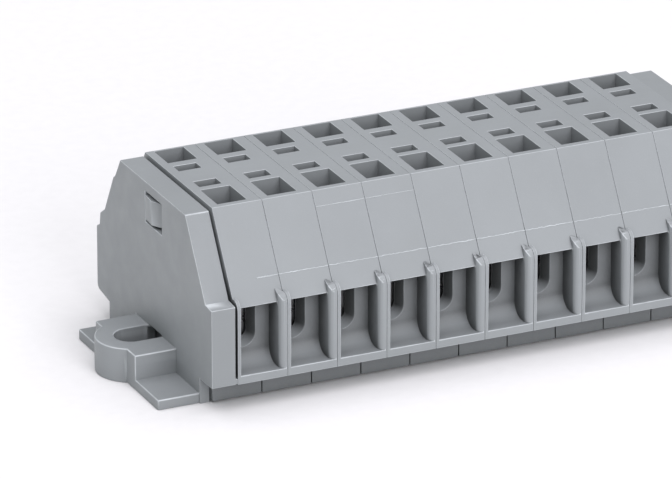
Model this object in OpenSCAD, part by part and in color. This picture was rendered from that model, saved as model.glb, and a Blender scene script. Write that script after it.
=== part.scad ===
// Row of snap-together screwless terminal modules between two end plates with screw-fixing flanges.
// X runs along the row, -Y is the front wire-entry side, Z is up. The origin is the middle of the base.

/* [Row] */
// Number of modules in the row
poles = 10; // [2:1:13]
// Distance from one module to the next
pitch = 5; // [5:0.25:6]
// Joint left between neighbouring mouldings
seam = 0.04; // [0.02:0.01:0.06]

/* [Housing outline] */
// Height of the top face
top_z = 17.8; // [17.4:0.1:18.4]
// Half the depth of the top face
top_y = 7.6; // [7.5:0.05:7.8]
// Half the depth over the front and rear faces
half_depth = 13.25; // [13:0.05:13.6]
// Height of the lip where the slope ends over a wire entry
lip_z = 9.65; // [9.5:0.05:9.8]
// Half depth at that lip
lip_y = 12.57; // [12.4:0.01:12.6]
// Underside of the front and rear faces
shelf_z = 2.5; // [2.45:0.05:2.6]
// Half depth of the foot
foot_y = 10.95; // [10.7:0.05:11.2]
// How far a foot reaches under the module or end plate on its left
foot_lap = 1.55; // [1:0.05:1.6]
// Height of the housings' feet over the underside of the flanges
foot_lift = 0.2; // [0.1:0.05:0.3]

/* [Wire entry] */
// Wall left of the entry, which is also the web that closes the neighbour
web = 0.35; // [0.3:0.05:0.4]
// Width of the entry
entry_w = 3.9; // [3.7:0.05:3.95]
// Bottom of the entry at the face
entry_z = 3.3; // [3.2:0.05:3.5]
// Depth of the entry before the throat
entry_depth = 2.6; // [2.4:0.1:2.8]
// Radius of the scoop from the entry's floor up to the throat
scoop_r = 1.5; // [1:0.1:1.6]
// Radius of the dividers' rounded noses, seen from the side
nose_r = 0.9; // [0.8:0.05:1.1]
// Radius of the rounded edge that leads a wire in
lead_r = 0.6; // [0.4:0.05:0.7]
// Width of the throat
throat_w = 1.85; // [1.7:0.05:2]
// Bottom of the throat
throat_z = 5.4; // [5:0.1:5.8]
// How far the throat widens towards the entry
funnel = 0.45; // [0.3:0.05:0.5]

/* [Openings in the top] */
// Width of a screwdriver hole
tool_w = 2.9; // [2.7:0.05:3]
// Front and rear edges of a front screwdriver hole
tool_front_y = [-6.95, -3.15];
// Front and rear edges of a rear screwdriver hole
tool_rear_y = [4.2, 7.4];
// Width of a test slot
test_w = 2.25; // [2:0.05:2.4]
// Front and rear edges of a front test slot
test_front_y = [-2.4, -1];
// Front and rear edges of a rear test slot
test_rear_y = [1.95, 3.25];

/* [End plate] */
// Thickness of an end plate
plate_t = 2.6; // [2.5:0.05:2.8]
// Height of an end plate
plate_z = 17.5; // [17.2:0.1:17.6]
// Height of the ledge on its front
ledge_z = 10.2; // [10:0.1:10.4]
// Width of the groove round the joint to the first housing
groove_w = 0.25; // [0.15:0.05:0.3]
// Depth of that groove
groove_depth = 0.8; // [0.5:0.1:1]
// Half depth of the end plate's foot
plate_foot_y = 10.45; // [10.35:0.05:10.8]

/* [Flange] */
// Length of the flange beyond the end plate
flange_l = 4.1; // [3.8:0.1:4.4]
// Thickness of the flange
flange_t = 1; // [0.8:0.1:1.2]
// Front and rear edges of the flange
flange_y = [-10.3, 8.2];
// Height of the raised screw boss
boss_h = 3.4; // [3.2:0.1:3.8]
// Front and rear edges of the boss's square part
boss_y = [-5.1, 4.1];
// Radius of the boss's round nose
boss_r = 3.4; // [3.2:0.05:3.6]
// Middle of the screw slot from front to rear
slot_y = -0.3; // [-0.6:0.1:0]
// Width of the screw slot
slot_w = 3.2; // [3:0.1:3.4]
// Distance from the end plate to the slot's outer arc centre
slot_out = 2.4; // [2.3:0.05:2.6]
// Distance between the slot's two arc centres
slot_run = 1.85; // [1.4:0.05:1.9]

/* [Clamp and current bar] */
// Thickness of the spring strip
strip_t = 0.35; // [0.3:0.05:0.4]
// Width of the spring strip
strip_w = 2.7; // [2.5:0.05:2.8]
// Thickness of the current bar
bar_t = 0.8; // [0.7:0.05:0.9]
// Underside of the current bar
bar_z = 8.7; // [8.6:0.05:8.8]
// Outer radius of the spring's rear bend
bend_r = 1.45; // [1.3:0.05:1.5]
// Outer radius of the spring's front bend
nose_bend_r = 1; // [0.8:0.05:1.1]

/* [Hidden] */
$fn = 48;
eps = 0.01;
housing_w = pitch - seam;
entry_right = web + entry_w;
front_face_y = -half_depth;
back_of_entry_y = front_face_y + entry_depth;
throat_wall = 1.25;
chamber_y = half_depth - entry_depth - throat_wall;
chamber_z = [2.4, 13.2];
funnel_depth = 0.8;
throat_x = 0.6;
tool_x = 0.85;
test_front_x = 1.05;
test_rear_x = 0.95;
foot_h = chamber_z[0];
foot_room = 0.1;
plate_foot_z = shelf_z - 0.05;
core_out_depth = 0.8;
core_out_x = [0.5, 2.95];
core_out_y = [3, 8.6];
peg_r = 0.5;
peg_l = 0.8;
peg_y = 5;
peg_z = 15.5;
peg_clear = 0.03;
latch_y = [-1.6, 1.55];
latch_z = [13.8, 16.2];
window_y = [-2, 1.7];
window_z = [13.5, 16.55];
latch_long = plate_t + 0.05;
latch_short = 1.4;
latch_fold_y = -0.15;
latch_proud = 0.12;
latch_ramp = 0.7;
pocket_l = latch_short + 0.1;
plate_gap = 0.03;
sill_h = 0.6;
slot_r = slot_w / 2;
pocket_depth = 2;
pocket_half_w = 2.1;
pocket_h = boss_h - 0.3;
bar_x = 0.75;
bar_w = 2.6;
bar_end_y = chamber_y - 0.2;
tongue_x = 1.1;
tongue_w = 1.6;
tongue_y = 6.9;
rest_y = 2.2;
rest_w = 3.25;
keeper_w = 0.8;
keeper_h = 0.8;
keeper_y = 1;
strip_x = web + 0.2;
leg_y = -(chamber_y - 0.4);
leg_z = 5.3;
pivot_y = -3.4;
spring_rest = 0.03;
pivot_z = bar_z + bar_t + spring_rest + bend_r;
window_w = tongue_w + 0.3;
window_bottom_z = bar_z - 0.1;
window_top_z = bar_z + bar_t + 1.9;
grey = "#a7abaf";
plate_grey = "#9a9fa3";
tin = "#c9c6bd";
steel = "#b9bcc0";

function two_digits(i) = i < 10 ? str("0", i) : str(i);
function mirrored(half) = concat(half, [for (i = [len(half) - 1 : -1 : 0]) [-half[i][0], half[i][1]]]);
function arc(centre, r, from, to, n) =
    [for (i = [0 : n]) let (a = from + (to - from) * i / n) centre + r * [cos(a), sin(a)]];

// Extrudes a side outline, drawn as (Y, Z), along +X.
module along_x(length) {
    rotate([90, 0, 90])
        linear_extrude(length)
            children();
}

// A box from its two opposite corners.
module span(low, high) {
    translate(low)
        cube(high - low);
}

module at_module(i) {
    translate([(i - 1 - poles / 2) * pitch + seam / 2, 0, 0])
        children();
}

// Side outline of a housing between its dividers.
module core_outline() {
    polygon(mirrored([
        [-foot_y, foot_h],
        [-foot_y, shelf_z],
        [-half_depth, shelf_z],
        [-half_depth, lip_z],
        [-lip_y, lip_z],
        [-top_y, top_z]
    ]));
}

// The divider's rounded nose, which stands proud of the slope over the entries.
module divider_noses() {
    nose = concat(
        [[-half_depth, shelf_z]],
        arc([-half_depth + nose_r, lip_z], nose_r, 180, 30, 14),
        [[-half_depth + nose_r, shelf_z]]
    );
    polygon(nose);
    mirror([1, 0])
        polygon(nose);
}

module divider(x, width) {
    translate([x, 0, 0])
        along_x(width)
            union() {
                core_outline();
                divider_noses();
            }
}

// Wire entry and throat on the front face.
module entry_cut() {
    span([web, front_face_y - eps, entry_z], [entry_right, back_of_entry_y, lip_z]);
    span([throat_x, back_of_entry_y - eps, throat_z + throat_w / 2],
         [throat_x + throat_w, back_of_entry_y + throat_wall + eps, lip_z]);
    translate([throat_x + throat_w / 2, back_of_entry_y - eps, throat_z + throat_w / 2])
        rotate([-90, 0, 0])
            cylinder(r = throat_w / 2, h = throat_wall + 2 * eps);
    throat_funnel();
    difference() {
        span([entry_right - eps, front_face_y - nose_r, entry_z],
             [entry_right + lead_r, front_face_y + lead_r, lip_z + nose_r + eps]);
        translate([entry_right + lead_r, front_face_y + lead_r, entry_z - eps])
            cylinder(r = lead_r, h = lip_z + nose_r);
    }
}

// Tapered mouth of the throat, which guides a wire in from the entry.
module throat_funnel() {
    mouth_r = throat_w / 2 + funnel;
    intersection() {
        span([web, back_of_entry_y - eps, entry_z], [entry_right, back_of_entry_y + funnel_depth, lip_z]);
        translate([throat_x + throat_w / 2, back_of_entry_y - eps, throat_z + throat_w / 2])
            union() {
                rotate([-90, 0, 0])
                    cylinder(r1 = mouth_r, r2 = throat_w / 2, h = funnel_depth);
                linear_extrude(lip_z)
                    polygon([
                        [-mouth_r, 0],
                        [mouth_r, 0],
                        [throat_w / 2, funnel_depth],
                        [-throat_w / 2, funnel_depth]
                    ]);
            }
    }
}

// Scooped floor of the entry, rising to the throat.
module entry_floor() {
    translate([web - eps, 0, 0])
        along_x(entry_w + 2 * eps)
            polygon(concat(
                [
                    [back_of_entry_y - scoop_r, entry_z - eps],
                    [back_of_entry_y + eps, entry_z - eps],
                    [back_of_entry_y + eps, entry_z + scoop_r]
                ],
                arc([back_of_entry_y - scoop_r, entry_z + scoop_r], scoop_r, 0, -90, 8)
            ));
}

// Space for the clamps and the current bar, open on the right side.
module chamber_cut() {
    difference() {
        span([web, -chamber_y, chamber_z[0]], [pitch, chamber_y, chamber_z[1]]);
        span([web - eps, -rest_y, chamber_z[0] - eps], [web + rest_w, rest_y, bar_z]);
        span([web - eps, -keeper_y, bar_z + bar_t], [web + keeper_w, keeper_y, bar_z + bar_t + keeper_h]);
    }
}

module top_openings() {
    for (edges = [tool_front_y, tool_rear_y])
        span([tool_x, edges[0], chamber_z[1] - eps], [tool_x + tool_w, edges[1], top_z + eps]);
    span([test_front_x, test_front_y[0], chamber_z[1] - eps],
         [test_front_x + test_w, test_front_y[1], top_z + eps]);
    span([test_rear_x, test_rear_y[0], chamber_z[1] - eps],
         [test_rear_x + test_w, test_rear_y[1], top_z + eps]);
}

// Two pegs on the left side of a moulding, or the holes that take them.
module pegs(r, length) {
    for (side = [-1, 1])
        translate([-length, side * peg_y, peg_z])
            rotate([0, 90, 0])
                cylinder(r = r, h = length + eps);
}

// Latch on the left side of a moulding, with a ramp on its end.
module latch(length) {
    translate([0, 0, latch_z[0]])
        linear_extrude(latch_z[1] - latch_z[0])
            polygon([
                [eps, latch_y[1]],
                [-length, latch_y[1]],
                [-length - latch_proud, latch_fold_y],
                [-length + latch_ramp, latch_y[0]],
                [eps, latch_y[0]]
            ]);
}

module latch_pocket() {
    span([housing_w - pocket_l - latch_proud, window_y[0], window_z[0]], [pitch, window_y[1], window_z[1]]);
}

// Foot, which reaches under the left neighbour and leaves room for the right one's.
module foot(last) {
    right = last ? housing_w : housing_w - foot_lap - seam;
    difference() {
        union() {
            span([0, -foot_y, foot_lift], [right, foot_y, foot_h + eps]);
            span([-foot_lap, -foot_y, foot_lift], [eps, foot_y, foot_h - seam]);
        }
        for (side = [-1, 1])
            translate([-foot_lap, side * (core_out_y[0] + core_out_y[1]) / 2, 0])
                span([core_out_x[0], -(core_out_y[1] - core_out_y[0]) / 2, -eps],
                     [core_out_x[1], (core_out_y[1] - core_out_y[0]) / 2, foot_lift + core_out_depth]);
    }
}

module housing(i) {
    color(grey)
        at_module(i)
            union() {
                difference() {
                    union() {
                        along_x(housing_w)
                            core_outline();
                        divider(0, web);
                        divider(entry_right, housing_w - entry_right);
                    }
                    entry_cut();
                    mirror([0, 1, 0])
                        entry_cut();
                    chamber_cut();
                    top_openings();
                    latch_pocket();
                    translate([housing_w, 0, 0])
                        pegs(peg_r + peg_clear, peg_l + peg_clear);
                }
                entry_floor();
                mirror([0, 1, 0])
                    entry_floor();
                foot(i == poles);
                pegs(peg_r, peg_l);
                latch(i == 1 ? latch_long : latch_short);
            }
}

// Side outline of an end plate; its rear edge is stepped where its front edge is plain.
module plate_outline() {
    rear = half_depth;
    corner_r = 0.6;
    polygon(concat(
        [
            [-plate_foot_y, 0],
            [-plate_foot_y, plate_foot_z],
            [front_face_y, shelf_z],
            [front_face_y, ledge_z],
            [front_face_y + 1.45, ledge_z + 0.1],
            [-top_y + 0.15, plate_z],
            [top_y - 0.1, plate_z],
            [top_y + 1.15, plate_z - 2],
            [top_y + 1.55, plate_z - 2.25],
            [rear - 1.95, ledge_z + 1.05],
            [rear - 0.85, ledge_z + 0.3],
            [rear - 0.7, ledge_z - 0.9],
            [rear, ledge_z - 1.3]
        ],
        arc([rear - corner_r, shelf_z + corner_r], corner_r, 0, -80, 6),
        [
            [plate_foot_y, shelf_z - 0.35],
            [plate_foot_y, 0]
        ]
    ));
}

module screw_slot() {
    slot_x = -plate_t - slot_out;
    span([slot_x, slot_y - slot_r, -eps], [slot_x + slot_run, slot_y + slot_r, boss_h + eps]);
    for (x = [slot_x, slot_x + slot_run])
        translate([x, slot_y, -eps])
            cylinder(r = slot_r, h = boss_h + 2 * eps);
}

// Left end plate with its flange, seen from the first housing's left face at X = 0.
module end_plate_body() {
    difference() {
        union() {
            translate([-plate_t, 0, 0])
                along_x(plate_t - groove_w)
                    plate_outline();
            translate([-groove_w - eps, 0, plate_z / 2])
                along_x(groove_w + eps - plate_gap)
                    scale(1 - groove_depth / (plate_z / 2))
                        translate([0, -plate_z / 2])
                            plate_outline();
            for (side = [-1, 1])
                span([-groove_w - eps, side * half_depth - (side > 0 ? 2 : 0), shelf_z + 0.1],
                     [-plate_gap, side * half_depth + (side > 0 ? 0 : 2), shelf_z + sill_h]);
            span([-plate_t - flange_l, flange_y[0], 0], [-plate_t + eps, flange_y[1], flange_t]);
            span([-plate_t - flange_l, boss_y[0], 0], [-plate_t + eps, boss_y[1], boss_h]);
            translate([-plate_t - slot_out, slot_y, 0])
                cylinder(r = boss_r, h = boss_h);
        }
        screw_slot();
        span([-plate_t, slot_y - pocket_half_w, -eps],
             [-plate_t + pocket_depth, slot_y + pocket_half_w, pocket_h]);
    }
}

module end_plate_left() {
    color(plate_grey)
        at_module(1)
            difference() {
                end_plate_body();
                span([-plate_t - eps, window_y[0], window_z[0]], [eps, window_y[1], window_z[1]]);
                span([-foot_lap - seam, -foot_y - foot_room, -eps], [eps, foot_y + foot_room, plate_foot_z]);
                pegs(peg_r + peg_clear, peg_l + peg_clear);
            }
}

module end_plate_right() {
    color(plate_grey)
        at_module(poles)
            translate([housing_w, 0, 0])
                union() {
                    mirror([1, 0, 0])
                        end_plate_body();
                    translate([plate_gap, 0, 0]) {
                        pegs(peg_r, peg_l);
                        latch(latch_short);
                    }
                }
}

// Current bar from the front clamp to the rear one, with a narrow tongue through each clamp's window.
module busbar(i) {
    color(tin)
        at_module(i)
            translate([0, 0, bar_z])
                linear_extrude(bar_t)
                    union() {
                        translate([bar_x, -tongue_y])
                            square([bar_w, 2 * tongue_y]);
                        translate([tongue_x, -bar_end_y])
                            square([tongue_w, 2 * bar_end_y]);
                    }
}

// Cage clamp: a bent spring strip whose window pulls the wire up against the bar.
module cage_clamp() {
    strap_z = pivot_z + bend_r;
    bend_y = leg_y + nose_bend_r;
    difference() {
        translate([strip_x, 0, 0])
            along_x(strip_w)
                union() {
                    translate([pivot_y, pivot_z])
                        difference() {
                            circle(bend_r);
                            circle(bend_r - strip_t);
                            translate([-2 * bend_r, -2 * bend_r])
                                square([2 * bend_r, 4 * bend_r]);
                        }
                    translate([bend_y, strap_z - strip_t])
                        square([pivot_y - bend_y + eps, strip_t]);
                    translate([bend_y, strap_z - nose_bend_r])
                        difference() {
                            circle(nose_bend_r);
                            circle(nose_bend_r - strip_t);
                            translate([eps, -2 * nose_bend_r])
                                square([2 * nose_bend_r, 4 * nose_bend_r]);
                            translate([-2 * nose_bend_r, -2 * nose_bend_r - eps])
                                square([4 * nose_bend_r, 2 * nose_bend_r]);
                        }
                    translate([leg_y, leg_z])
                        square([strip_t, strap_z - nose_bend_r - leg_z]);
                }
        span([strip_x + (strip_w - window_w) / 2, leg_y - 1, window_bottom_z],
             [strip_x + (strip_w + window_w) / 2, leg_y + strip_t + eps, window_top_z]);
    }
}

module clamp_front(i) {
    color(steel)
        at_module(i)
            cage_clamp();
}

module clamp_rear(i) {
    color(steel)
        at_module(i)
            mirror([0, 1, 0])
                cage_clamp();
}

end_plate_left();
end_plate_right();
for (i = [1 : poles]) {
    housing(i);
    busbar(i);
    clamp_front(i);
    clamp_rear(i);
}
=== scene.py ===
"""Looks of the row of screwless terminal modules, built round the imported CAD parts.

Sections: measures, node helpers, materials, edge rounding, moulding details, studio, build.
"""

import math
import random

import bmesh
import bpy
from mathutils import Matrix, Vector


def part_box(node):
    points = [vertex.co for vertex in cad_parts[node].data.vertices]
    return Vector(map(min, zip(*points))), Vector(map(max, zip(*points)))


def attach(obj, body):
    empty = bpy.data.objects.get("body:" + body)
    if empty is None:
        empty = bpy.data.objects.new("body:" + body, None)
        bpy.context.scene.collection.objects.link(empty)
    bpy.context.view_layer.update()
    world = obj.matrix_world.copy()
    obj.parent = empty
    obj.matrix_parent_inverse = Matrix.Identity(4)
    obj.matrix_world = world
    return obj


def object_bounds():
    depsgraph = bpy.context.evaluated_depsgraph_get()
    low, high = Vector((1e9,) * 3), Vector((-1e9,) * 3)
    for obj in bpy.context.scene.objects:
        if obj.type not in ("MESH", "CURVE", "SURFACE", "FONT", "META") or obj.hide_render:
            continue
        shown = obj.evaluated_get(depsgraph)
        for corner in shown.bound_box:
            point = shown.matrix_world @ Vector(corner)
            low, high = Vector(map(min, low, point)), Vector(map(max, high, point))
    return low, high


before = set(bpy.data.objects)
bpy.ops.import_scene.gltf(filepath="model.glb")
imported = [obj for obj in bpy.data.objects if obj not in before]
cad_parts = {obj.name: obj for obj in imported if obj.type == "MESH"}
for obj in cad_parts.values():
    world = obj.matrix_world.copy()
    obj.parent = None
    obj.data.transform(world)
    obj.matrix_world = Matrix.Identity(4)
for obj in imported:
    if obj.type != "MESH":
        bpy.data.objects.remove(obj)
cad_low, cad_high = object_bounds()
MM = 0.001

# ---------------------------------------------------------------- measures
HOUSINGS = sorted(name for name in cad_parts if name.startswith("housing"))
END_PLATES = ["end_plate_left", "end_plate_right"]
BUSBARS = sorted(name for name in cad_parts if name.startswith("busbar"))
CLAMPS = sorted(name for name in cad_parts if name.startswith("clamp"))
SEAM = 0.04 * MM
PITCH = (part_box(HOUSINGS[-1])[1].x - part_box(HOUSINGS[0])[1].x) / (len(HOUSINGS) - 1)
# Where the left face of the first housing stands; its latch reaches further
FIRST_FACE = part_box(HOUSINGS[0])[1].x - PITCH + SEAM

# Bands of height in which the painted shade of the hollows changes, from the feet to the openings in the top
FOOT_TOP = (2.3 * MM, 2.6 * MM)
SILL_TOP = (2.9 * MM, 3.4 * MM)
OPENINGS_BASE = (10 * MM, 13 * MM)
# How far in front of a surface another one makes it part of a hollow
HOLLOW_REACH = 4.5 * MM
AO_SAMPLES = 12

# CAD edges that turn outwards by more than SHARP are rounded
SHARP = math.radians(35)
# After that, edges that still turn by more than this are shaded sharp
STILL_SHARP = math.radians(50)
HOUSING_RADIUS = 0.13 * MM
PLATE_RADIUS = 0.14 * MM
METAL_RADIUS = 0.05 * MM
# Shares of that radius at noses and joints, on a housing's other edges, and in an end plate's groove
FINE_WEIGHT = 0.25
OTHER_WEIGHT = 0.45
GROOVE_WEIGHT = 0.35
# Edges this near to a joint belong to it, as a share of the pitch
JOINT_BAND = 0.006
# Edges this near to the front, rear or end face belong to it
FACE_DEPTH = 1.4 * MM
WELD_GAP = 0.0005 * MM
# Where each face keeps its normal from before the rounding
FLAT_NORMAL = "flat_normal"

PARTING_LINE_Z = 11.8 * MM
UPPER_PARTING_LINE_Z = 16.5 * MM
# Where the line starts on the first housing, as a share of the pitch
FIRST_LINE_START = 0.55
FLASH_STEPS = 32
FLASH_CORNERS = 5
FLASH_SUNK = 0.01 * MM
# Its thinnest places, as a share of its full width and height
THINNEST_FLASH = 0.55
GATE_CORNERS = 9
GATE_SEED = 11

VIEW_AZIMUTH = math.radians(-24.92)
VIEW_ELEVATION = math.radians(22.27)
VIEW_DISTANCE = 673.2 * MM
AIM_FROM_LEFT = 23.29 * MM
AIM_Y = -2.31 * MM
AIM_Z = 10.22 * MM
LENS_MM = 389.3
SENSOR_MM = 36.0

WORLD_STRENGTH = 0.38
FLOOR_HALF_SIZE = 1.5
SOFTBOX_DISTANCE = 1.2


# ---------------------------------------------------------------- node helpers
class Shader:
    """A material's node tree, with short calls that add one node each."""

    def __init__(self, name):
        self.material = bpy.data.materials.new(name)
        self.material.use_nodes = True
        self.tree = self.material.node_tree
        self.tree.nodes.clear()
        self.surface = self.tree.nodes.new("ShaderNodeBsdfPrincipled")
        output = self.tree.nodes.new("ShaderNodeOutputMaterial")
        self.link(self.surface.outputs["BSDF"], output.inputs["Surface"])
        texture = self.tree.nodes.new("ShaderNodeTexCoord")
        self.place = texture.outputs["Object"]
        self.normal = texture.outputs["Normal"]

    def link(self, source, target):
        self.tree.links.new(source, target)

    def value(self, socket, value):
        """Sets a socket's number, or links it if a node's output is given."""
        if isinstance(value, bpy.types.NodeSocket):
            self.link(value, socket)
        else:
            socket.default_value = value

    def noise(self, per_mm, detail=2.0, stretch=(1, 1, 1), roughness=0.5):
        """Noise with the given number of cells per millimetre, from 0 to 1."""
        mapping = self.tree.nodes.new("ShaderNodeMapping")
        mapping.inputs["Scale"].default_value = stretch
        self.link(self.place, mapping.inputs["Vector"])
        node = self.tree.nodes.new("ShaderNodeTexNoise")
        node.inputs["Scale"].default_value = per_mm / MM
        node.inputs["Detail"].default_value = detail
        node.inputs["Roughness"].default_value = roughness
        self.link(mapping.outputs["Vector"], node.inputs["Vector"])
        return node.outputs["Fac"]

    def ramp(self, factor, low, high, start=0.0, end=1.0):
        """Maps factor from low..high to start..end, held at both ends."""
        node = self.tree.nodes.new("ShaderNodeMapRange")
        node.clamp = True
        self.link(factor, node.inputs["Value"])
        for socket, value in (("From Min", low), ("From Max", high), ("To Min", start), ("To Max", end)):
            node.inputs[socket].default_value = value
        return node.outputs["Result"]

    def upward(self, vector):
        """The Z part of a vector."""
        node = self.tree.nodes.new("ShaderNodeSeparateXYZ")
        self.link(vector, node.inputs[0])
        return node.outputs["Z"]

    def math(self, operation, first, second):
        """One sum of two numbers or sockets."""
        node = self.tree.nodes.new("ShaderNodeMath")
        node.operation = operation
        self.value(node.inputs[0], first)
        self.value(node.inputs[1], second)
        return node.outputs["Value"]

    def mix(self, factor, first, second, blend="MIX"):
        """Mixes two colours by factor."""
        node = self.tree.nodes.new("ShaderNodeMix")
        node.data_type = "RGBA"
        node.blend_type = blend
        self.value(node.inputs["Factor"], factor)
        self.value(node.inputs["A"], first)
        self.value(node.inputs["B"], second)
        return node.outputs["Result"]

    def edges(self):
        """1 on a rounded edge, 0 on the flat faces beside it."""
        before = self.tree.nodes.new("ShaderNodeAttribute")
        before.attribute_name = FLAT_NORMAL
        dot = self.tree.nodes.new("ShaderNodeVectorMath")
        dot.operation = "DOT_PRODUCT"
        self.link(before.outputs["Vector"], dot.inputs[0])
        self.link(self.normal, dot.inputs[1])
        return self.ramp(dot.outputs["Value"], 0.99, 0.88)

    def openness(self, distance):
        """1 where nothing stands within the distance in front of the surface, towards 0 in a hollow."""
        node = self.tree.nodes.new("ShaderNodeAmbientOcclusion")
        node.samples = AO_SAMPLES
        node.inputs["Distance"].default_value = distance
        return node.outputs["AO"]

    def piece_shade(self, spread):
        """A number near 1 that differs a little from piece to piece."""
        node = self.tree.nodes.new("ShaderNodeObjectInfo")
        return self.ramp(node.outputs["Random"], 0.0, 1.0, 1 - spread, 1 + spread)

    def bump(self, height, depth, strength, below=None):
        """Normals bumped by a height, on top of another bump if one is given."""
        node = self.tree.nodes.new("ShaderNodeBump")
        node.inputs["Strength"].default_value = strength
        node.inputs["Distance"].default_value = depth
        self.link(height, node.inputs["Height"])
        if below is not None:
            self.link(below, node.inputs["Normal"])
        return node.outputs["Normal"]


# ---------------------------------------------------------------- materials
def grey(level, blue=1.03):
    """The plastic's cool grey at a level of brightness."""
    return (level * 0.935, level, level * blue, 1)


def mottled(shader, level):
    """Base colour of the plastic: cloudy, with flow marks and pale fibres."""
    cloud = shader.ramp(shader.noise(0.09, detail=3), 0.3, 0.7)
    flow = shader.ramp(shader.noise(0.35, detail=4, stretch=(1, 1, 0.3)), 0.35, 0.7)
    colour = shader.mix(cloud, grey(level * 0.96), grey(level * 1.04))
    colour = shader.mix(shader.math("MULTIPLY", flow, 0.25), colour, grey(level * 1.08, 1.045))
    fibres = shader.ramp(shader.noise(5, detail=2), 0.63, 0.74)
    return shader.mix(shader.math("MULTIPLY", fibres, 0.12), colour, grey(level * 1.3))


def hollow_mask(shader, openness, painted_shade):
    """Painted shade: 1 on the walls of the wire entries, less on floors, feet and openings in the top, 0 on
    sills.
    """
    height = shader.upward(shader.place)
    hollow = shader.ramp(openness, 0.75, 0.28, 0.0, painted_shade)
    low_down = shader.ramp(height, *OPENINGS_BASE, 1.0, 0.2)
    on_wall = shader.ramp(shader.upward(shader.normal), 0.2, 0.8, 1.0, 0.1)
    over_sill = shader.ramp(height, *SILL_TOP)
    on_foot = shader.ramp(height, *FOOT_TOP, 0.75, 0.0)
    hollow = shader.math("MULTIPLY", hollow, shader.math("MULTIPLY", low_down, on_wall))
    return shader.math("MULTIPLY", hollow, shader.math("ADD", over_sill, on_foot))


def edge_highlight_mask(shader, openness):
    """1 on rounded edges, where a pale painted highlight goes; uneven along the edge and fading in hollows.
    """
    patchy_highlight = shader.ramp(shader.noise(0.8, detail=4), 0.3, 0.65, 0.55, 1.0)
    patchy_highlight = shader.math("MULTIPLY", patchy_highlight, shader.ramp(openness, 0.45, 0.8))
    return shader.math("MULTIPLY", shader.edges(), patchy_highlight)


def polyamide(name, level, painted_shade):
    """Satin polyamide: spark-textured and mottled, with a pale painted highlight on rounded edges and
    painted shade on the walls of hollows.
    """
    shader = Shader(name)
    openness = shader.openness(HOLLOW_REACH)
    edge_highlight = edge_highlight_mask(shader, openness)
    colour = mottled(shader, level)
    # Painted shade: near-black colour on the walls of the hollows and the fronts of the feet
    colour = shader.mix(hollow_mask(shader, openness, painted_shade), colour, grey(level * 0.14, 0.99))
    # Pale painted highlight on the rounded edges
    colour = shader.mix(edge_highlight, colour, grey(level * 2.0))
    colour = shader.mix(1.0, colour, shader.piece_shade(0.025), blend="MULTIPLY")
    shader.link(colour, shader.surface.inputs["Base Color"])
    satin = shader.ramp(shader.noise(0.6, detail=5), 0.3, 0.75, 0.4, 0.56)
    smoothed = shader.math("SUBTRACT", satin, shader.math("MULTIPLY", edge_highlight, 0.08))
    shader.link(smoothed, shader.surface.inputs["Roughness"])
    sink = shader.bump(shader.noise(0.16, detail=1), 0.05 * MM, 0.5)
    spark = shader.bump(shader.noise(7, detail=3, roughness=0.65), 0.012 * MM, 0.55, below=sink)
    shader.link(spark, shader.surface.inputs["Normal"])
    shader.surface.inputs["IOR"].default_value = 1.5
    return shader.material


def rolled_metal(name, colour, dull, roughness, grain):
    """Rolled strip: fine lines along the rolling direction, with dull patches."""
    shader = Shader(name)
    lines = shader.noise(6, detail=3, stretch=grain)
    patches = shader.ramp(shader.noise(0.7, detail=4), 0.35, 0.7)
    tone = shader.mix(shader.math("MULTIPLY", patches, 0.5), colour, dull)
    tone = shader.mix(shader.math("MULTIPLY", shader.ramp(lines, 0.4, 0.7), 0.2), tone, dull)
    # Paler on rounded edges: a painted highlight
    tone = shader.mix(shader.math("MULTIPLY", shader.edges(), 0.4), tone, (0.93, 0.93, 0.92, 1))
    shader.link(tone, shader.surface.inputs["Base Color"])
    spread = shader.ramp(patches, 0.0, 1.0, roughness, roughness + 0.14)
    streaked = shader.math("ADD", spread, shader.ramp(lines, 0.3, 0.7, -0.04, 0.05))
    shader.link(streaked, shader.surface.inputs["Roughness"])
    shader.link(shader.bump(lines, 0.004 * MM, 0.4), shader.surface.inputs["Normal"])
    shader.surface.inputs["Metallic"].default_value = 1.0
    return shader.material


def paint(names, material):
    """Gives CAD nodes a material."""
    for name in names:
        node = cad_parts[name]
        node.data.materials.clear()
        node.data.materials.append(material)


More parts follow.
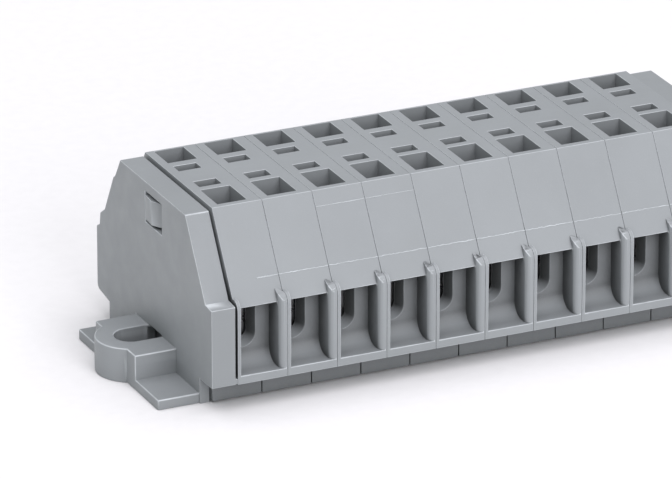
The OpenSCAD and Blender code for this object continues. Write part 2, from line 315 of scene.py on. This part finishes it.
# ---------------------------------------------------------------- edge rounding
class Field:
    """A geometry node group over a mesh's edges, with short calls that add one node each."""

    def __init__(self, name):
        self.group = bpy.data.node_groups.new(name, "GeometryNodeTree")
        self.group.interface.new_socket("Geometry", in_out="INPUT", socket_type="NodeSocketGeometry")
        self.group.interface.new_socket("Geometry", in_out="OUTPUT", socket_type="NodeSocketGeometry")
        self.start = self.group.nodes.new("NodeGroupInput")
        self.end = self.group.nodes.new("NodeGroupOutput")
        place = self.group.nodes.new("GeometryNodeInputPosition")
        split = self.group.nodes.new("ShaderNodeSeparateXYZ")
        self.group.links.new(place.outputs["Position"], split.inputs[0])
        self.x, self.y, self.z = split.outputs
        bend = self.group.nodes.new("GeometryNodeInputMeshEdgeAngle")
        self.angle = bend.outputs["Unsigned Angle"]
        self.outward = bend.outputs["Signed Angle"]

    def math(self, operation, first, second=0.0):
        """One sum of two numbers or sockets; the second is left out for those that take one."""
        node = self.group.nodes.new("ShaderNodeMath")
        node.operation = operation
        for socket, value in zip(node.inputs, (first, second)):
            if isinstance(value, bpy.types.NodeSocket):
                self.group.links.new(value, socket)
            else:
                socket.default_value = value
        return node.outputs["Value"]

    def above(self, value, limit):
        """1 where the value is over the limit."""
        return self.math("GREATER_THAN", value, limit)

    def keep(self, geometry, name, kind, domain, value):
        """Stores a value under a name on each edge or face."""
        node = self.group.nodes.new("GeometryNodeStoreNamedAttribute")
        node.data_type = kind
        node.domain = domain
        node.inputs["Name"].default_value = name
        self.group.links.new(geometry, node.inputs["Geometry"])
        self.group.links.new(value, node.inputs["Value"])
        return node.outputs["Geometry"]

    def store(self, weight):
        """Keeps each edge's bevel weight and each face's normal from before the bevel."""
        normal = self.group.nodes.new("GeometryNodeInputNormal").outputs["Normal"]
        marked = self.keep(self.start.outputs[0], FLAT_NORMAL, "FLOAT_VECTOR", "FACE", normal)
        weighted = self.keep(marked, "bevel_weight_edge", "FLOAT", "EDGE", weight)
        self.group.links.new(weighted, self.end.inputs[0])
        return self.group


def front_slope(name):
    """The largest face on a housing's front slope."""
    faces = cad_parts[name].data.polygons
    sloping = [face for face in faces if face.normal.y < -0.5 and face.normal.z > 0.3]
    return max(sloping, key=lambda face: face.area)


def slope_foot():
    """Height of the lip where the housings' front slope ends."""
    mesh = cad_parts[HOUSINGS[0]].data
    return min(mesh.vertices[index].co.z for index in front_slope(HOUSINGS[0]).vertices)


def housing_edges():
    """Full radius at the wire entries, half on other edges, a fine one on noses and between housings."""
    field = Field("housing_edges")
    sharp = field.above(field.outward, SHARP)
    place = field.math("DIVIDE", field.math("SUBTRACT", field.x, FIRST_FACE), PITCH)
    along = field.math("FRACT", field.math("ADD", place, 0.5 + SEAM / PITCH / 2))
    from_joint = field.math("ABSOLUTE", field.math("SUBTRACT", along, 0.5))
    near_side = field.math("LESS_THAN", from_joint, JOINT_BAND)
    at_face = field.above(field.math("ABSOLUTE", field.y), cad_high.y - FACE_DEPTH)
    on_nose = field.math("MULTIPLY", at_face, field.above(field.z, slope_foot() - SEAM))
    at_entry = field.math("SUBTRACT", at_face, on_nose)
    weight = field.math("ADD", OTHER_WEIGHT, field.math("MULTIPLY", at_entry, 1 - OTHER_WEIGHT))
    fine_side = field.math("MAXIMUM", near_side, on_nose)
    fine = field.math("MULTIPLY", fine_side, field.math("SUBTRACT", weight, FINE_WEIGHT))
    return field.store(field.math("MULTIPLY", sharp, field.math("SUBTRACT", weight, fine)))


def plate_edges():
    """Full radius on the outer side of an end plate, and a fine one in the groove beside the housings."""
    field = Field("plate_edges")
    sharp = field.above(field.outward, SHARP)
    outer = field.above(field.math("ABSOLUTE", field.x), -FIRST_FACE + FACE_DEPTH)
    weight = field.math("ADD", GROOVE_WEIGHT, field.math("MULTIPLY", outer, 1 - GROOVE_WEIGHT))
    return field.store(field.math("MULTIPLY", sharp, weight))


def metal_edges():
    """The same radius on all edges."""
    field = Field("metal_edges")
    return field.store(field.above(field.outward, SHARP))


def smooth_shading():
    """A geometry node group that shades faces smooth and keeps the edges that stay sharp."""
    field = Field("smooth_shading")
    faces = field.group.nodes.new("GeometryNodeSetShadeSmooth")
    edges = field.group.nodes.new("GeometryNodeSetShadeSmooth")
    edges.domain = "EDGE"
    edges.inputs["Shade Smooth"].default_value = False
    field.group.links.new(field.start.outputs[0], faces.inputs["Geometry"])
    field.group.links.new(faces.outputs["Geometry"], edges.inputs["Geometry"])
    field.group.links.new(field.above(field.angle, STILL_SHARP), edges.inputs["Selection"])
    field.group.links.new(edges.outputs["Geometry"], field.end.inputs[0])
    return field.group


def round_edges(names, radius, weights, shading, segments=3):
    """Rounds the sharp edges of CAD nodes with modifiers; the meshes themselves stay as they are."""
    for name in names:
        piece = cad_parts[name]
        weld = piece.modifiers.new("weld", "WELD")
        weld.merge_threshold = WELD_GAP
        weigh = piece.modifiers.new("weigh", "NODES")
        weigh.node_group = weights
        bevel = piece.modifiers.new("bevel", "BEVEL")
        bevel.width = radius
        bevel.segments = segments
        bevel.limit_method = "WEIGHT"
        bevel.use_clamp_overlap = False
        smooth = piece.modifiers.new("smooth", "NODES")
        smooth.node_group = shading
        even = piece.modifiers.new("even_normals", "WEIGHTED_NORMAL")
        even.mode = "FACE_AREA"
        even.weight = 100
        even.keep_sharp = True


# ---------------------------------------------------------------- moulding details
def moulded(name, detail, material):
    """Makes a small raised detail of the housings an object that rides with the strip."""
    bmesh.ops.recalc_face_normals(detail, faces=detail.faces)
    for face in detail.faces:
        face.smooth = True
    mesh = bpy.data.meshes.new(name)
    detail.to_mesh(mesh)
    detail.free()
    piece = bpy.data.objects.new(name, mesh)
    bpy.context.scene.collection.objects.link(piece)
    mesh.materials.append(material)
    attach(piece, "strip")


def foot_front(name):
    """Lowest and highest corner of the front face of a housing's foot."""
    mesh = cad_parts[name].data
    forward = [face for face in mesh.polygons if face.normal.y < -0.99]
    lowest = min(forward, key=lambda face: face.center.z)
    corners = []
    for face in forward:
        if abs(face.center.y - lowest.center.y) < SEAM:
            corners += [mesh.vertices[index].co for index in face.vertices]
    low = Vector([min(corner[axis] for corner in corners) for axis in range(3)])
    high = Vector([max(corner[axis] for corner in corners) for axis in range(3)])
    return low, high


def flash_line(name, start, end, out, width, height, seed, material):
    """A thin ragged line of flash along a mould's parting line, a closed strip with a domed section."""
    draw = random.Random(seed)
    across = (end - start).cross(out).normalized()
    bead = bmesh.new()
    rings = []
    swell = draw.uniform(THINNEST_FLASH, 1.0)
    for step in range(FLASH_STEPS + 1):
        swell = min(1.0, max(THINNEST_FLASH, swell + draw.uniform(-0.25, 0.25)))
        drift = draw.uniform(-0.3, 0.3) * width
        centre = start.lerp(end, step / FLASH_STEPS) + across * drift
        ring = []
        for corner in range(FLASH_CORNERS):
            turn = math.pi * corner / (FLASH_CORNERS - 1)
            lift = math.sin(turn) * height * swell - FLASH_SUNK
            aside = math.cos(turn) * width * swell / 2
            ring.append(bead.verts.new(centre + across * aside + out * lift))
        rings.append(ring)
    for before, after in zip(rings, rings[1:]):
        for corner in range(FLASH_CORNERS):
            following = (corner + 1) % FLASH_CORNERS
            bead.faces.new((before[corner], before[following], after[following], after[corner]))
    bead.faces.new(rings[0])
    bead.faces.new(rings[-1])
    moulded(name, bead, material)


def gate_mark(name, centre, out, radius, seed, material):
    """The torn stub that a mould's gate leaves: a low ragged button."""
    draw = random.Random(seed)
    side = out.cross(Vector((0, 0, 1))).normalized()
    up = side.cross(out)
    button = bmesh.new()
    peak = button.verts.new(centre + out * radius * 0.35)
    rings = []
    for level, size in ((0.25, 0.55), (-0.1, 1.0)):
        ring = []
        for corner in range(GATE_CORNERS):
            turn = 2 * math.pi * corner / GATE_CORNERS
            reach = radius * size * draw.uniform(0.6, 1.1)
            spot = side * (math.cos(turn) * reach) + up * (math.sin(turn) * reach * 0.6)
            ring.append(button.verts.new(centre + spot + out * radius * level))
        rings.append(ring)
    inner, outer = rings
    for corner in range(GATE_CORNERS):
        following = (corner + 1) % GATE_CORNERS
        button.faces.new((peak, inner[corner], inner[following]))
        button.faces.new((inner[corner], outer[corner], outer[following], inner[following]))
    button.faces.new(outer)
    moulded(name, button, material)


def add_flash(material):
    """Parting-line flash across the front slopes: a full one low down, a short faint one near the top."""
    high_on = HOUSINGS[2:4]
    for index, name in enumerate(HOUSINGS):
        slope = front_slope(name)
        point = slope.center.copy()
        out = slope.normal.normalized()
        up = Vector((0, out.z, -out.y))
        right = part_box(name)[1].x
        left = right - PITCH + SEAM
        if index == 0:
            left += FIRST_LINE_START * PITCH
        lines = [("parting_line", PARTING_LINE_Z, 0.11 * MM, 0.05 * MM)]
        if name in high_on:
            lines.append(("upper_parting_line", UPPER_PARTING_LINE_Z, 0.07 * MM, 0.045 * MM))
        for kind, height, width, proud in lines:
            on_slope = point + up * ((height - point.z) / up.z)
            start = Vector((left, on_slope.y, on_slope.z))
            end = Vector((right, on_slope.y, on_slope.z))
            number = name.split("_")[1]
            flash_line(f"{kind}_{number}", start, end, out, width, proud, height * 1e6 + index, material)


def add_gate_marks(material):
    """A gate mark low on the front of each housing's foot."""
    draw = random.Random(GATE_SEED)
    for index, name in enumerate(HOUSINGS):
        low, high = foot_front(name)
        middle = (low + high) / 2
        middle.x -= draw.uniform(0.2, 0.6) * MM
        middle.z -= draw.uniform(0.3, 0.5) * MM
        radius = draw.uniform(0.1, 0.22) * MM
        number = name.split("_")[1]
        gate_mark(f"gate_mark_{number}", middle, Vector((0, -1, 0)), radius, index, material)


# ---------------------------------------------------------------- studio
def aim(thing, target):
    """Turns a camera or a lamp towards a point."""
    direction = target - thing.location
    thing.rotation_mode = "QUATERNION"
    thing.rotation_quaternion = direction.to_track_quat("-Z", "Y")


def around(target, azimuth, elevation, distance):
    """A point seen from target at an azimuth from the front and an elevation, both in radians."""
    level = math.cos(elevation)
    return target + distance * Vector((
        math.sin(azimuth) * level,
        -math.cos(azimuth) * level,
        math.sin(elevation),
    ))


def add_camera(target):
    """The camera at the angle of view of the reference picture."""
    lens = bpy.data.cameras.new("camera")
    lens.lens = LENS_MM
    lens.sensor_width = SENSOR_MM
    lens.clip_start = 0.01
    lens.clip_end = 10
    camera = bpy.data.objects.new("camera", lens)
    bpy.context.scene.collection.objects.link(camera)
    camera.location = around(target, VIEW_AZIMUTH, VIEW_ELEVATION, VIEW_DISTANCE)
    aim(camera, target)
    bpy.context.scene.camera = camera


def add_softbox(name, target, azimuth, elevation, size, watts, colour):
    """A square area lamp, its angles in degrees."""
    lamp = bpy.data.lights.new(name, "AREA")
    lamp.shape = "RECTANGLE"
    lamp.size = size
    lamp.size_y = size
    lamp.energy = watts
    lamp.color = colour
    box = bpy.data.objects.new(name, lamp)
    bpy.context.scene.collection.objects.link(box)
    box.location = around(target, math.radians(azimuth), math.radians(elevation), SOFTBOX_DISTANCE)
    aim(box, target)


def add_world(strength):
    """Even light from all round."""
    world = bpy.data.worlds.new("studio")
    world.use_nodes = True
    background = world.node_tree.nodes["Background"]
    background.inputs["Color"].default_value = (0.95, 1.0, 0.99, 1)
    background.inputs["Strength"].default_value = strength
    bpy.context.scene.world = world


def add_floor(half_size):
    """A plain pale sheet, larger than any view needs."""
    grid = bmesh.new()
    bmesh.ops.create_grid(grid, x_segments=8, y_segments=8, size=half_size)
    mesh = bpy.data.meshes.new("floor")
    grid.to_mesh(mesh)
    grid.free()
    floor = bpy.data.objects.new("floor", mesh)
    bpy.context.scene.collection.objects.link(floor)
    floor.location.z = cad_low.z
    shader = Shader("pale_paper")
    grain = shader.ramp(shader.noise(0.8, detail=3), 0.3, 0.7)
    tone = shader.mix(grain, (0.81, 0.81, 0.81, 1), (0.83, 0.83, 0.83, 1))
    shader.link(tone, shader.surface.inputs["Base Color"])
    shader.surface.inputs["Roughness"].default_value = 0.9
    floor.data.materials.append(shader.material)


# ---------------------------------------------------------------- build
housing_plastic = polyamide("housing_polyamide_look", 0.31, 0.95)
plate_plastic = polyamide("end_plate_polyamide_look", 0.29, 0.25)
tin = rolled_metal("tinned_copper_look", (0.74, 0.72, 0.68, 1), (0.5, 0.49, 0.47, 1), 0.3, (0.4, 0.02, 0.4))
steel = rolled_metal("spring_steel_look", (0.7, 0.71, 0.73, 1), (0.44, 0.45, 0.47, 1), 0.24, (1, 0.05, 0.05))
paint(HOUSINGS, housing_plastic)
paint(END_PLATES, plate_plastic)
paint(BUSBARS, tin)
paint(CLAMPS, steel)

shading = smooth_shading()
round_edges(HOUSINGS, HOUSING_RADIUS, housing_edges(), shading)
round_edges(END_PLATES, PLATE_RADIUS, plate_edges(), shading)
round_edges(BUSBARS + CLAMPS, METAL_RADIUS, metal_edges(), shading, segments=2)

# The flash and gate marks have no stored flat normal, so their whole surface takes the pale painted
# highlight; they get no painted shade
flash_plastic = polyamide("flash_polyamide_look", 0.31, 0.0)
add_flash(flash_plastic)
add_gate_marks(flash_plastic)

view_target = Vector((cad_low.x + AIM_FROM_LEFT, AIM_Y, AIM_Z))
add_camera(view_target)
add_world(WORLD_STRENGTH)
add_floor(FLOOR_HALF_SIZE)
add_softbox("overhead", view_target, -20, 84, 1.9, 19.4, (1.04, 1.0, 1.06))
add_softbox("front_fill", view_target, 2, 22, 0.6, 5.8, (1.03, 1.0, 1.04))
bpy.context.scene.view_settings.view_transform = "Standard"
